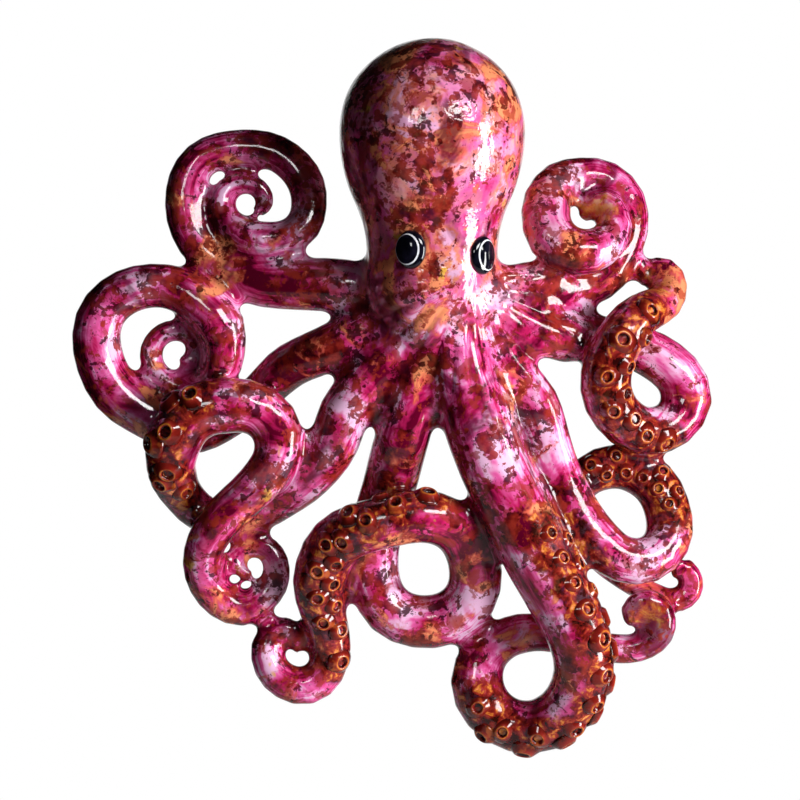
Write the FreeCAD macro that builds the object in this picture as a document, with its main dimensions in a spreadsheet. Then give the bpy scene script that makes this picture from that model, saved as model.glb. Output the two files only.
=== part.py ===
import FreeCAD, Part
import math
import os
import Sketcher

# Wall-hung octopus of glazed ceramic, built up wet and luted together: a hollow cast
# mantle closed at the back by a slab, a web that carries the neck in a socket, eight
# rolled arms that curl over and under one another, pressed-on suckers and two eyes.
# Frame: +X to the viewer's right, +Z up, the wall is the plane Y = 0 and the front
# looks along -Y. The origin is the mouth of the hanging hole in the back slab.

Vector = FreeCAD.Vector

os.makedirs("parts", exist_ok=True)
document = FreeCAD.newDocument("octopus")

# Driving dimensions in millimetres
SIZES = [
    ("mantle_radius", 46.5),
    ("mantle_flank_radius", 85),
    ("mantle_waist_radius", 61.5),
    ("mantle_wall", 5),
    ("mantle_depth", 40),
    ("neck_radius", 32.8),
    ("neck_straight", 9),
    ("slab_thickness", 6),
    ("slab_inset", 0.5),
    ("hanging_hole_radius", 4),
    ("socket_gap", 0.3),
    ("collar_height", 42),
    ("web_offset", 4),
    ("web_drop", 12.5),
    ("web_forward", 1),
    ("web_half_width", 33),
    ("web_half_height", 25),
    ("web_half_depth", 27),
    ("arms_reach", 230),
    ("arm_1_radius", 13.5),
    ("arm_2_radius", 12),
    ("arm_3_radius", 13),
    ("arm_4_radius", 13.5),
    ("arm_5_radius", 18),
    ("arm_6_radius", 11.2),
    ("arm_7_radius", 12),
    ("arm_8_radius", 11),
    ("layer_height", 24),
    ("arm_gap", 0.6),
    ("wall_gap", 0.6),
    ("settle_slack", 0.1),
    ("settle_reach", 9),
    ("sucker_radius", 4),
    ("sucker_height", 2.3),
    ("sucker_recess", 1.5),
    ("sucker_gap", 0.4),
    ("eye_half_width", 7.5),
    ("eye_half_height", 9.5),
    ("eye_half_depth", 4.5),
    ("eye_gap", 0.2),
    ("eye_left_rise", 10.9),
    ("eye_right_rise", 8.4),
    ("eye_left_turn", -19.5),
    ("eye_right_turn", 48),
]

sheet = document.addObject("Spreadsheet::Sheet", "sizes")
for row, (alias, value) in enumerate(SIZES, start=1):
    sheet.set(f"A{row}", alias)
    sheet.set(f"B{row}", str(value))
    sheet.setAlias(f"B{row}", alias)
document.recompute()


def size(alias):
    return float(sheet.get(alias))


# Places read on the photograph, in its pixels: the web's centre and the lowest edge
WEB_CENTRE_PX = (440, 300)
LOWEST_EDGE_PX = 759

# Each arm from its root to its tip: across_px, down_px, thickness as a share of the
# arm's root radius, lift above the wall as a share of the layer height.
ARM_ROUTE_PX_SHARES = {
    1: [(345, 290, 1, 0.75), (300, 287, 1, 0.5), (262, 284, 0.96, 0.3), (228, 272, 0.89, 0.1),
        (200, 250, 0.81, 0), (184, 222, 0.78, 0), (182, 190, 0.74, 0), (196, 160, 0.7, 0),
        (237, 147, 0.7, 0), (275, 153, 0.7, 0.1), (302, 180, 0.7, 0.2), (307, 212, 0.69, 0.4),
        (296, 237, 0.67, 0.55), (268, 246, 0.66, 0.6), (238, 240, 0.62, 0.45),
        (220, 222, 0.55, 0.3), (219, 200, 0.48, 0.3), (234, 186, 0.42, 0.3),
        (254, 187, 0.37, 0.35), (264, 202, 0.32, 0.4), (254, 213, 0.28, 0.45)],
    2: [(328, 350, 1, 0.8), (290, 367, 0.96, 0.4), (262, 392, 0.87, 0.05), (225, 425, 0.75, 0),
        (190, 438, 0.83, 0), (150, 420, 1, 0), (116, 394, 1.08, 0), (97, 350, 1.04, 0),
        (100, 316, 1, 0), (123, 291, 0.96, 0.1), (165, 280, 0.94, 0.2), (200, 290, 1, 0.25),
        (224, 318, 1.04, 0.3), (228, 350, 0.83, 0.35), (212, 382, 0.67, 0.3),
        (186, 388, 0.58, 0.2), (160, 376, 0.52, 0.2), (149, 353, 0.48, 0.2),
        (160, 334, 0.46, 0.25), (180, 329, 0.44, 0.3), (198, 341, 0.41, 0.3),
        (195, 360, 0.37, 0.35), (178, 362, 0.33, 0.4)],
    3: [(352, 400, 1, 1), (334, 440, 0.98, 0.75), (305, 480, 0.92, 0.3), (270, 508, 0.8, 0.05),
        (235, 522, 0.73, 0), (205, 518, 0.75, 0), (185, 500, 0.8, 0.1), (172, 470, 0.95, 0.4),
        (176, 438, 1.06, 0.75), (195, 412, 1.08, 0.85), (228, 404, 1.08, 0.9),
        (262, 410, 1, 0.9), (281, 435, 0.94, 0.9), (268, 474, 0.86, 0.95),
        (245, 498, 0.81, 1), (222, 520, 0.81, 0.95), (202, 563, 0.77, 0.5),
        (213, 595, 0.73, 0.2), (242, 610, 0.69, 0.1), (268, 592, 0.58, 0.1),
        (275, 565, 0.5, 0.15), (262, 545, 0.44, 0.2), (243, 547, 0.38, 0.3),
        (232, 560, 0.35, 0.4), (238, 577, 0.32, 0.45), (252, 575, 0.3, 0.5)],
    4: [(404, 422, 1, 1.05), (394, 458, 1.02, 0.6), (385, 492, 1, 0.15), (374, 530, 0.98, 0),
        (372, 570, 0.98, 0), (388, 610, 0.98, 0), (435, 627, 1, 0), (475, 611, 1, 0.15),
        (487, 570, 1, 0.4), (472, 530, 0.97, 0.75), (440, 515, 0.97, 1), (392, 521, 0.97, 1.05),
        (337, 546, 0.98, 0.6), (322, 580, 0.97, 0.3), (329, 640, 0.78, 0), (325, 675, 0.7, 0),
        (305, 690, 0.7, 0), (278, 680, 0.67, 0), (266, 655, 0.61, 0), (280, 632, 0.48, 0.05),
        (300, 640, 0.37, 0.15), (296, 655, 0.3, 0.25)],
    5: [(476, 420, 1, 0.9), (489, 460, 0.99, 0.85), (508, 505, 0.98, 0.8), (533, 553, 0.97, 0.8),
        (560, 602, 0.93, 0.85), (579, 645, 0.87, 0.9), (578, 685, 0.82, 0.6),
        (555, 717, 0.77, 0.3), (522, 727, 0.74, 0.1), (490, 712, 0.74, 0), (474, 680, 0.74, 0),
        (483, 648, 0.65, 0), (512, 632, 0.57, 0), (545, 632, 0.51, 0), (575, 640, 0.45, 0),
        (605, 648, 0.42, 0.05), (635, 650, 0.42, 0.1), (660, 637, 0.4, 0.25),
        (664, 615, 0.37, 0.4), (648, 602, 0.34, 0.5), (632, 612, 0.28, 0.5),
        (640, 627, 0.24, 0.5)],
    6: [(524, 392, 1, 1), (541, 430, 1, 0.9), (553, 470, 1, 0.8), (568, 505, 1.04, 0.8),
        (592, 540, 1.1, 0.85), (625, 560, 1.03, 0.85), (652, 556, 1.03, 0.7),
        (670, 530, 1.06, 0.4), (669, 500, 1.06, 0.2), (656, 474, 1.06, 0.1), (630, 460, 1.02, 0.05),
        (604, 463, 0.98, 0.05), (583, 480, 0.85, 0), (576, 505, 0.72, 0), (590, 545, 0.58, 0),
        (625, 580, 0.54, 0), (660, 600, 0.54, 0), (682, 604, 0.54, 0.05), (696, 588, 0.49, 0.1),
        (687, 570, 0.46, 0.2), (676, 580, 0.38, 0.3)],
    7: [(552, 338, 1, 0.85), (580, 340, 1.02, 0.4), (605, 342, 1, 0.1), (635, 350, 0.98, 0),
        (658, 362, 1.02, 0), (679, 381, 1.04, 0), (688, 404, 1.04, 0), (676, 430, 1, 0.1),
        (650, 442, 1, 0.3), (622, 430, 1.04, 0.6), (604, 400, 1.08, 0.9), (606, 366, 1.08, 1.1),
        (622, 335, 1, 1.15), (641, 315, 0.87, 0.9), (662, 303, 0.79, 0.5), (670, 285, 0.67, 0.3),
        (660, 268, 0.58, 0.2), (645, 270, 0.5, 0.25), (644, 284, 0.42, 0.4)],
    8: [(535, 288, 1, 0.75), (560, 292, 1.04, 0.45), (585, 288, 1.09, 0.2), (608, 270, 1.14, 0.05),
        (622, 238, 1.09, 0), (624, 205, 1, 0), (605, 181, 0.95, 0), (580, 177, 0.91, 0.1),
        (556, 187, 1, 0.35), (546, 212, 1.14, 0.7), (553, 240, 1.14, 1), (575, 255, 1.09, 1.1),
        (603, 250, 0.95, 0.9), (620, 232, 0.82, 0.6), (620, 214, 0.64, 0.5),
        (607, 204, 0.55, 0.5), (592, 209, 0.45, 0.5), (594, 221, 0.39, 0.55)],
}

# Each root stub's thickness at the web's centre, as a share of its arm's root radius
STUB_CORE_SHARES = {1: 0.9, 2: 1.2, 3: 1.3, 4: 1.35, 5: 1.05, 6: 1.35, 7: 1.2, 8: 1}

# Suckers, arm by arm: the cups' size as a share of the full one, then runs of cups. A run
# goes from one share of the arm's length to another, with how many cups, and from one turn
# round the arm to another, in degrees from the viewer's side towards the arm's right hand.
# The cups of two neighbouring runs are staggered.
SUCKER_RUN_SHARES = {
    3: (1, ((0.312, 0.424, 4, 15, -40), (0.334, 0.406, 3, -30, -76))),
    4: (1, ((0.525, 0.655, 5, 65, -34), (0.692, 0.802, 4, -36, -38),
            (0.572, 0.64, 3, 82, 10), (0.676, 0.748, 3, 3, 5))),
    5: (1, ((0.175, 0.287, 4, -38, -33), (0.322, 0.43, 4, -42, -48), (0.47, 0.562, 3, -22, -16),
            (0.195, 0.27, 3, -74, -76), (0.305, 0.412, 4, -86, -92), (0.45, 0.535, 3, -76, -62))),
    6: (0.8, ((0.45, 0.581, 5, 4, -16), (0.466, 0.598, 5, 42, 24))),
    7: (1, ((0.444, 0.532, 3, -35, 18), (0.6, 0.738, 3, 42, 60), (0.575, 0.775, 4, -4, 6))),
}

# Where along a root stub its balls stand, from the web's centre to the arm's seat
STUB_BALL_SHARES = (0.7, 0.8, 0.9)

# Shares that shape the arms, their sections and the cups
SECTION_STEP_SHARE = 0.62
TIP_STEP_SHARE = 0.3
TIP_ZONE_SHARE = 2
TIP_BLUNT_SHARE = 0.35
SUCKER_SKIN_SHARE = 0.42
SUCKER_RIM_SHARE = 0.86
SUCKER_MOUTH_SHARE = 0.54
SUCKER_FLOOR_SHARE = 0.34
SUCKER_SIDES = 12

# Settling: how many steps, how often neighbours are listed again, and how strongly the
# shifts are evened out early and late on
SETTLE_STEPS = 240
SETTLE_LEAST_STEPS = 20
SETTLE_EARLY_STEPS = 160
SETTLE_LIST_STEPS = 12
EARLY_EASE_SHARE = 0.45
LATE_EASE_SHARE = 0.12

# How far along itself, in its own thickness, an arm starts to count as a neighbour, and
# how much thicker than its sections the skin between them is taken to be
SELF_SKIP_SHARE = 2.4
CUP_SKIP_SHARE = 3.2
BETWEEN_SECTIONS_SHARE = 1.06

# Levels that follow from the mantle's own curves
flank_turn = math.acos(
    1
    - (size("mantle_radius") - size("neck_radius"))
    / (size("mantle_flank_radius") + size("mantle_waist_radius"))
)
waist_z = -(size("mantle_flank_radius") + size("mantle_waist_radius")) * math.sin(flank_turn)
join_z = waist_z - size("neck_straight")
web_z = join_z - size("web_drop")
web_depth = size("mantle_depth") + size("web_forward")
web_centre = Vector(size("web_offset"), -web_depth, web_z)
mm_per_px = size("arms_reach") / (LOWEST_EDGE_PX - WEB_CENTRE_PX[1])


def sketch_on(body, role, name):
    """A sketch on one of the body's own origin planes."""
    plane = [f for f in body.Origin.OriginFeatures if f.Role == role][0]
    sketch = body.newObject("Sketcher::SketchObject", name)
    sketch.AttachmentSupport = [(plane, "")]
    sketch.MapMode = "FlatFace"
    return sketch


def bind(sketch, constraint, expression):
    """Adds a constraint and ties its value to the sheet."""
    index = sketch.addConstraint(constraint)
    sketch.setExpression(f"Constraints[{index}]", expression)


def arc(centre, radius, start, end):
    circle = Part.Circle(Vector(*centre, 0), Vector(0, 0, 1), radius)
    return Part.ArcOfCircle(circle, start, end)


def mantle_outline(sketch, grow):
    """The mantle's outer half profile: crown, flank, waist and straight neck."""
    crown = size("mantle_radius") + grow
    flank = size("mantle_flank_radius") + grow
    waist = size("mantle_waist_radius") - grow
    neck = size("neck_radius") + grow
    flank_centre = (crown - flank, 0)
    waist_centre = (neck + waist, waist_z)
    sketch.addGeometry(arc((0, 0), crown, 0, math.pi / 2))
    sketch.addGeometry(arc(flank_centre, flank, -flank_turn, 0))
    sketch.addGeometry(arc(waist_centre, waist, math.pi - flank_turn, math.pi))
    sketch.addGeometry(Part.LineSegment(Vector(neck, waist_z, 0), Vector(neck, join_z, 0)))


def tie_outline(sketch, grow):
    """Constraints on the four outline pieces 0 to 3 that mantle_outline drew."""
    sketch.addConstraint(Sketcher.Constraint("Coincident", 0, 3, -1, 1))
    sketch.addConstraint(Sketcher.Constraint("PointOnObject", 0, 2, -2))
    sketch.addConstraint(Sketcher.Constraint("PointOnObject", 1, 3, -1))
    sketch.addConstraint(Sketcher.Constraint("Tangent", 0, 1, 1, 2))
    sketch.addConstraint(Sketcher.Constraint("Tangent", 1, 1, 2, 1))
    sketch.addConstraint(Sketcher.Constraint("Tangent", 2, 2, 3, 1))
    sketch.addConstraint(Sketcher.Constraint("Vertical", 3))
    shift = size("eye_gap") if grow else 0
    radius = Sketcher.Constraint("Radius", 0, size("mantle_radius") + shift)
    bind(sketch, radius, f"sizes.mantle_radius{grow}")
    radius = Sketcher.Constraint("Radius", 1, size("mantle_flank_radius") + shift)
    bind(sketch, radius, f"sizes.mantle_flank_radius{grow}")
    waist_grow = grow.replace("+", "-")
    radius = Sketcher.Constraint("Radius", 2, size("mantle_waist_radius") - shift)
    bind(sketch, radius, f"sizes.mantle_waist_radius{waist_grow}")
    reach = Sketcher.Constraint("DistanceX", -1, 1, 3, 2, size("neck_radius") + shift)
    bind(sketch, reach, f"sizes.neck_radius{grow}")
    drop = Sketcher.Constraint("DistanceY", 3, 2, 3, 1, size("neck_straight"))
    bind(sketch, drop, "sizes.neck_straight")


def revolve_profile(body, sketch, name):
    revolution = body.newObject("PartDesign::Revolution", name)
    revolution.Profile = sketch
    revolution.ReferenceAxis = (sketch, ["V_Axis"])
    return revolution


def stand_off(thing):
    """Stands the mantle's axis off the wall by its named depth."""
    thing.setExpression("Placement.Base.y", "-sizes.mantle_depth")


def make_mantle():
    """The hollow cast head, open at the neck, cut flat at the back for its slab."""
    body = document.addObject("PartDesign::Body", "mantle")
    profile = sketch_on(body, "XZ_Plane", "mantle_profile")
    wall = size("mantle_wall")
    crown = size("mantle_radius")
    neck = size("neck_radius")
    mantle_outline(profile, 0)
    flank_centre = (crown - size("mantle_flank_radius"), 0)
    waist_centre = (neck + size("mantle_waist_radius"), waist_z)
    inner = neck - wall
    profile.addGeometry(Part.LineSegment(Vector(neck, join_z, 0), Vector(inner, join_z, 0)))
    profile.addGeometry(Part.LineSegment(Vector(inner, join_z, 0), Vector(inner, waist_z, 0)))
    waist = size("mantle_waist_radius") + wall
    profile.addGeometry(arc(waist_centre, waist, math.pi - flank_turn, math.pi))
    profile.addGeometry(arc(flank_centre, size("mantle_flank_radius") - wall, -flank_turn, 0))
    profile.addGeometry(arc((0, 0), crown - wall, 0, math.pi / 2))
    profile.addGeometry(Part.LineSegment(Vector(0, crown - wall, 0), Vector(0, crown, 0)))
    tie_outline(profile, "")
    profile.addConstraint(Sketcher.Constraint("Coincident", 3, 2, 4, 1))
    profile.addConstraint(Sketcher.Constraint("Horizontal", 4))
    profile.addConstraint(Sketcher.Constraint("Coincident", 4, 2, 5, 1))
    profile.addConstraint(Sketcher.Constraint("Vertical", 5))
    profile.addConstraint(Sketcher.Constraint("Coincident", 6, 3, 2, 3))
    profile.addConstraint(Sketcher.Constraint("Tangent", 5, 2, 6, 2))
    profile.addConstraint(Sketcher.Constraint("Coincident", 7, 3, 1, 3))
    profile.addConstraint(Sketcher.Constraint("Tangent", 6, 1, 7, 1))
    profile.addConstraint(Sketcher.Constraint("Coincident", 8, 3, 0, 3))
    profile.addConstraint(Sketcher.Constraint("Tangent", 7, 2, 8, 1))
    profile.addConstraint(Sketcher.Constraint("Coincident", 8, 2, 9, 1))
    profile.addConstraint(Sketcher.Constraint("Coincident", 9, 2, 0, 2))
    bind(profile, Sketcher.Constraint("DistanceX", 4, 2, 4, 1, wall), "sizes.mantle_wall")
    revolve_profile(body, profile, "mantle_shell")
    back = sketch_on(body, "XZ_Plane", "mantle_back")
    back.setExpression("AttachmentOffset.Base.z", "-(sizes.mantle_depth - sizes.slab_thickness)")
    back.addGeometry(Part.Circle(Vector(0, 0, 0), Vector(0, 0, 1), 2 * crown))
    back.addConstraint(Sketcher.Constraint("Coincident", 0, 3, -1, 1))
    bind(back, Sketcher.Constraint("Radius", 0, 2 * crown), "2 * sizes.mantle_radius")
    document.recompute()
    cut = body.newObject("PartDesign::Pocket", "mantle_back_cut")
    cut.Profile = back
    cut.Type = "ThroughAll"
    stand_off(body)
    return body


def make_mantle_core():
    """The mantle's outside grown by the eyes' gap, which shapes the eyes' seats."""
    body = document.addObject("PartDesign::Body", "mantle_core")
    profile = sketch_on(body, "XZ_Plane", "core_profile")
    gap = size("eye_gap")
    crown = size("mantle_radius") + gap
    neck = size("neck_radius") + gap
    mantle_outline(profile, gap)
    profile.addGeometry(Part.LineSegment(Vector(neck, join_z, 0), Vector(0, join_z, 0)))
    profile.addGeometry(Part.LineSegment(Vector(0, join_z, 0), Vector(0, crown, 0)))
    tie_outline(profile, " + sizes.eye_gap")
    profile.addConstraint(Sketcher.Constraint("Coincident", 3, 2, 4, 1))
    profile.addConstraint(Sketcher.Constraint("Horizontal", 4))
    profile.addConstraint(Sketcher.Constraint("Coincident", 4, 2, 5, 1))
    profile.addConstraint(Sketcher.Constraint("Vertical", 5))
    profile.addConstraint(Sketcher.Constraint("Coincident", 5, 2, 0, 2))
    revolve_profile(body, profile, "core_turned")
    stand_off(body)
    return body


def make_back_slab():
    """The disc that closes the head's back, with the hanging hole at its middle."""
    body = document.addObject("PartDesign::Body", "back_slab")
    disc = sketch_on(body, "XZ_Plane", "slab_disc")
    radius = math.sqrt(
        size("mantle_radius") ** 2 - (size("mantle_depth") - size("slab_thickness")) ** 2
    )
    disc.addGeometry(Part.Circle(Vector(0, 0, 0), Vector(0, 0, 1), radius - size("slab_inset")))
    disc.addConstraint(Sketcher.Constraint("Coincident", 0, 3, -1, 1))
    bind(
        disc,
        Sketcher.Constraint("Radius", 0, radius - size("slab_inset")),
        "sqrt(sizes.mantle_radius ^ 2 - (sizes.mantle_depth - sizes.slab_thickness) ^ 2)"
        " - sizes.slab_inset",
    )
    pad = body.newObject("PartDesign::Pad", "slab_pad")
    pad.Profile = disc
    pad.setExpression("Length", "sizes.slab_thickness")
    document.recompute()
    solid_volume = body.Shape.Volume
    mouth = sketch_on(body, "XZ_Plane", "hanging_hole_mouth")
    mouth.addGeometry(Part.Circle(Vector(0, 0, 0), Vector(0, 0, 1), size("hanging_hole_radius")))
    mouth.addConstraint(Sketcher.Constraint("Coincident", 0, 3, -1, 1))
    bind(
        mouth,
        Sketcher.Constraint("Radius", 0, size("hanging_hole_radius")),
        "sizes.hanging_hole_radius",
    )
    hole = body.newObject("PartDesign::Pocket", "hanging_hole")
    hole.Profile = mouth
    hole.Type = "ThroughAll"
    hole.Reversed = True
    document.recompute()
    if body.Shape.Volume >= solid_volume:
        raise ValueError("the hanging hole cuts nothing")
    return body


def make_eye(name, turn_alias, rise_alias):
    """A domed oval button whose back is shaped to the neck that it is pressed on."""
    oval = document.addObject("Part::Ellipsoid", f"{name}_oval")
    oval.setExpression("Radius1", "sizes.eye_half_depth")
    oval.setExpression("Radius2", "sizes.eye_half_width")
    oval.setExpression("Radius3", "sizes.eye_half_height")
    turn = math.radians(size(turn_alias))
    level = join_z + size(rise_alias)
    along = max(min((level - waist_z) / size("mantle_waist_radius"), 1), 0)
    reach = size("neck_radius") + size("mantle_waist_radius") * (1 - math.cos(math.asin(along)))
    centre = Vector(reach * math.sin(turn), -size("mantle_depth") - reach * math.cos(turn), level)
    upright = FreeCAD.Rotation(Vector(0, 1, 0), 90)
    facing = FreeCAD.Rotation(Vector(0, 0, 1), size(turn_alias) - 90)
    oval.Placement = FreeCAD.Placement(centre, facing.multiply(upright))
    eye = document.addObject("Part::Cut", name)
    eye.Base = oval
    eye.Tool = mantle_core
    return eye


def photo_point(across_px, down_px, depth):
    """A place in the photograph at a depth off the wall, in the part's frame."""
    across = web_centre.x + (across_px - WEB_CENTRE_PX[0]) * mm_per_px
    up = web_centre.z - (down_px - WEB_CENTRE_PX[1]) * mm_per_px
    return Vector(across, -depth, up)


class Arm:
    """One arm as a list of round sections strung along its centre line."""

    def __init__(self, number):
        self.number = number
        root_radius = size(f"arm_{number}_radius")
        route = ARM_ROUTE_PX_SHARES[number]
        radii = [share * root_radius for _, _, share, _ in route]
        places = []
        for (across_px, down_px, _, lift_share), radius in zip(route, radii):
            depth = size("wall_gap") + radius + lift_share * size("layer_height")
            places.append(photo_point(across_px, down_px, depth))
        start = places[0] - web_centre
        start.normalize()
        self.curve = Part.BSplineCurve()
        end = places[-1] - places[-2]
        end.normalize()
        self.curve.interpolate(Points=places, InitialTangent=start, FinalTangent=end)
        self.length = self.curve.length()
        knots = [self.curve.parameter(place) for place in places]
        first = self.curve.FirstParameter
        marks = [0] + [self.curve.length(first, knot) for knot in knots[1:]]
        self.stations = []
        self.radii = []
        self.tip_radius = radii[-1]
        along = 0
        while along < self.length:
            radius = self.radius_at(along, marks, radii)
            self.stations.append(along)
            self.radii.append(radius)
            to_tip = self.length - along
            near_tip = to_tip < TIP_ZONE_SHARE * self.tip_radius
            along += radii[-1] * TIP_STEP_SHARE if near_tip else radius * SECTION_STEP_SHARE
        self.stations.append(self.length)
        self.radii.append(self.tip_radius * TIP_BLUNT_SHARE)
        self.targets = []
        for along in self.stations:
            self.targets.append(self.curve.value(self.curve.parameterAtDistance(along, first)))
        self.centres = [Vector(target) for target in self.targets]

    def radius_at(self, along, marks, radii):
        """The section's radius, tapering between route points and rounded at the tip."""
        index = 0
        while index < len(marks) - 2 and along > marks[index + 1]:
            index += 1
        share = (along - marks[index]) / (marks[index + 1] - marks[index])
        share = max(0, min(1, share))
        ease = share * share * (3 - 2 * share)
        radius = radii[index] + (radii[index + 1] - radii[index]) * ease
        to_tip = (self.length - along) / self.tip_radius
        if to_tip < 1:
            radius *= max(TIP_BLUNT_SHARE, math.sqrt(1 - (1 - to_tip) ** 2))
        return radius

    def stub_balls(self):
        """The root stub's outer end as balls that the other arms keep clear of."""
        reach = self.centres[0] - web_centre
        core = STUB_CORE_SHARES[self.number] * self.radii[0]
        balls = []
        for share in STUB_BALL_SHARES:
            radius = core + (self.radii[0] - core) * share
            balls.append((web_centre + reach * share, radius))
        return balls

    def tangent(self, index):
        if index == 0:
            step = self.centres[0] - web_centre
        else:
            after = min(index + 1, len(self.centres) - 1)
            step = self.centres[after] - self.centres[index - 1]
        return step.normalize()

    def frame(self, index):
        """The section's centre, its side and front directions, and its radius."""
        ahead = self.tangent(index)
        front = Vector(0, -1, 0)
        front = (front - ahead * front.dot(ahead)).normalize()
        side = ahead.cross(front)
        return self.centres[index], side, front, self.radii[index]


def settle(arms):
    """Lets the arms push one another apart until each pair is clear by the named gap."""
    gap = size("arm_gap")
    wall_gap = size("wall_gap")
    heads = [
        (Vector(0, -size("mantle_depth"), 0), size("mantle_radius")),
        (Vector(0, -size("mantle_depth"), waist_z), size("neck_radius")),
        (Vector(0, -size("mantle_depth"), join_z), size("neck_radius")),
    ]
    pairs = []
    for step in range(SETTLE_STEPS):
        if step % SETTLE_LIST_STEPS == 0:
            pairs = near_pairs(arms)
        worst = 0
        for arm, i, other, k in pairs:
            a = arm.centres[i]
            b = other.centres[k]
            apart = a - b
            distance = apart.Length
            short = arm.radii[i] + other.radii[k] + gap - distance
            if short > 0:
                worst = max(worst, short)
                push = apart * (0.5 * short / distance)
                arm.centres[i] = a + push
                other.centres[k] = b - push
        for arm in arms:
            stubs = [ball for other in arms if other is not arm for ball in other.stub_balls()]
            for i, place in enumerate(arm.centres):
                for centre, radius in heads + stubs:
                    apart = place - centre
                    short = radius + arm.radii[i] + gap - apart.Length
                    if short > 0:
                        place = place + apart.normalize() * short
                arm.centres[i] = place
        if worst < size("settle_slack") and step > SETTLE_LEAST_STEPS:
            break
        ease = EARLY_EASE_SHARE if step < SETTLE_EARLY_STEPS else LATE_EASE_SHARE
        for arm in arms:
            smooth_shifts(arm, ease)
            for i, place in enumerate(arm.centres):
                if -place.y < arm.radii[i] + wall_gap:
                    place.y = -(arm.radii[i] + wall_gap)
    return step


def near_pairs(arms):
    """Pairs of sections close enough to touch within the next few steps."""
    pairs = []
    for first, arm in enumerate(arms):
        for other in arms[first:]:
            for i, a in enumerate(arm.centres):
                for k, b in enumerate(other.centres):
                    near = arm.radii[i] + other.radii[k]
                    limit = near + size("settle_reach")
                    if abs(a.x - b.x) > limit or abs(a.z - b.z) > limit:
                        continue
                    if other is arm:
                        apart = other.stations[k] - arm.stations[i]
                        if apart < SELF_SKIP_SHARE * near:
                            continue
                    if (a - b).Length < limit:
                        pairs.append((arm, i, other, k))
    return pairs


def smooth_shifts(arm, ease):
    """Spreads what the pushes did along the arm, so that no kink is left."""
    shifts = [place - target for place, target in zip(arm.centres, arm.targets)]
    last = len(shifts) - 1
    for i in range(last + 1):
        before = shifts[max(i - 1, 0)]
        after = shifts[min(i + 1, last)]
        mean = (before + after) * 0.5
        arm.centres[i] = arm.targets[i] + shifts[i] + (mean - shifts[i]) * ease


def least_gap(arms):
    """The least clearance between any two sections, and which ones they are."""
    gap = None
    where = None
    for first, arm in enumerate(arms):
        for other in arms[first:]:
            for i, a in enumerate(arm.centres):
                for k, b in enumerate(other.centres):
                    near = arm.radii[i] + other.radii[k]
                    apart = other.stations[k] - arm.stations[i]
                    if other is arm and apart < SELF_SKIP_SHARE * near:
                        continue
                    here = (a - b).Length - near
                    if gap is None or here < gap:
                        gap = here
                        where = (arm.number, i, other.number, k)
    return gap, where


def section_wire(centre, side, front, radius):
    """A circle whose seam lies on the wall's side."""
    ahead = front.cross(side)
    matrix = FreeCAD.Matrix(
        -front.x, side.x, -ahead.x, centre.x,
        -front.y, side.y, -ahead.y, centre.y,
        -front.z, side.z, -ahead.z, centre.z,
        0, 0, 0, 1,
    )
    wire = Part.Wire(Part.Circle(Vector(0, 0, 0), Vector(0, 0, 1), radius).toShape())
    wire.Placement = FreeCAD.Placement(matrix)
    return wire


def make_arm(arm):
    """The rolled arm: a ruled skin over its round sections, closed at both ends."""
    wires = [section_wire(*arm.frame(i)) for i in range(len(arm.centres))]
    faces = [Part.Face(wires[0]), Part.Face(wires[-1])]
    for near, far in zip(wires, wires[1:]):
        faces += Part.makeLoft([near, far], False, True).Faces
    skin = Part.makeShell(faces)
    skin.sewShape()
    solid = Part.makeSolid(skin.Shells[0])
    if solid.Volume < 0:
        solid.reverse()
    feature = document.addObject("Part::Feature", f"arm_{arm.number}")
    feature.Shape = solid
    return feature


def make_web(arms):
    """The skirt: a core and a collar, eight root stubs, and the neck's socket."""
    core = document.addObject("Part::Ellipsoid", "web_core")
    core.setExpression("Radius1", "sizes.web_half_height")
    core.setExpression("Radius2", "sizes.web_half_width")
    core.setExpression("Radius3", "sizes.web_half_depth")
    core.Placement = FreeCAD.Placement(web_centre, FreeCAD.Rotation(0, 0, 90))
    collar = document.addObject("Part::Ellipsoid", "web_collar")
    collar.setExpression("Radius1", "sizes.collar_height")
    collar.setExpression("Radius2", "sizes.neck_radius")
    collar.setExpression("Radius3", "sizes.neck_radius")
    collar.Placement.Base = Vector(0, -size("mantle_depth"), join_z)
    pieces = [core, collar]
    for arm in arms:
        stub = document.addObject("Part::Cone", f"root_stub_{arm.number}")
        reach = arm.centres[0] - web_centre
        core_share = STUB_CORE_SHARES[arm.number]
        stub.setExpression("Radius1", f"{core_share} * sizes.arm_{arm.number}_radius")
        stub.setExpression("Radius2", f"sizes.arm_{arm.number}_radius")
        stub.Height = reach.Length
        stub.Placement = FreeCAD.Placement(web_centre, FreeCAD.Rotation(Vector(0, 0, 1), reach))
        pieces.append(stub)
    skirt = document.addObject("Part::MultiFuse", "web_skirt")
    skirt.Shapes = pieces
    socket = document.addObject("Part::Cylinder", "neck_socket")
    socket.setExpression("Radius", "sizes.neck_radius + sizes.socket_gap")
    socket.setExpression("Height", "sizes.collar_height")
    socket.Placement.Base = Vector(0, -size("mantle_depth"), join_z)
    web = document.addObject("Part::Cut", "web")
    web.Base = skirt
    web.Tool = socket
    return web


def surface_place(arm, along, turn, lift):
    """A place over the arm's skin: along it, turned round it, lifted off it."""
    last = len(arm.stations) - 2
    index = 0
    while index < last and along > arm.stations[index + 1]:
        index += 1
    span = arm.stations[index + 1] - arm.stations[index]
    share = max(0, min(1, (along - arm.stations[index]) / span))
    ends = []
    for section in (index, index + 1):
        centre, side, front, radius = arm.frame(section)
        out = front * math.cos(turn) + side * math.sin(turn)
        ends.append(centre + out * (radius + lift))
    return ends[0] + (ends[1] - ends[0]) * share


def polygon_face(points):
    return Part.Face(Part.makePolygon(points + [points[0]]))


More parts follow.
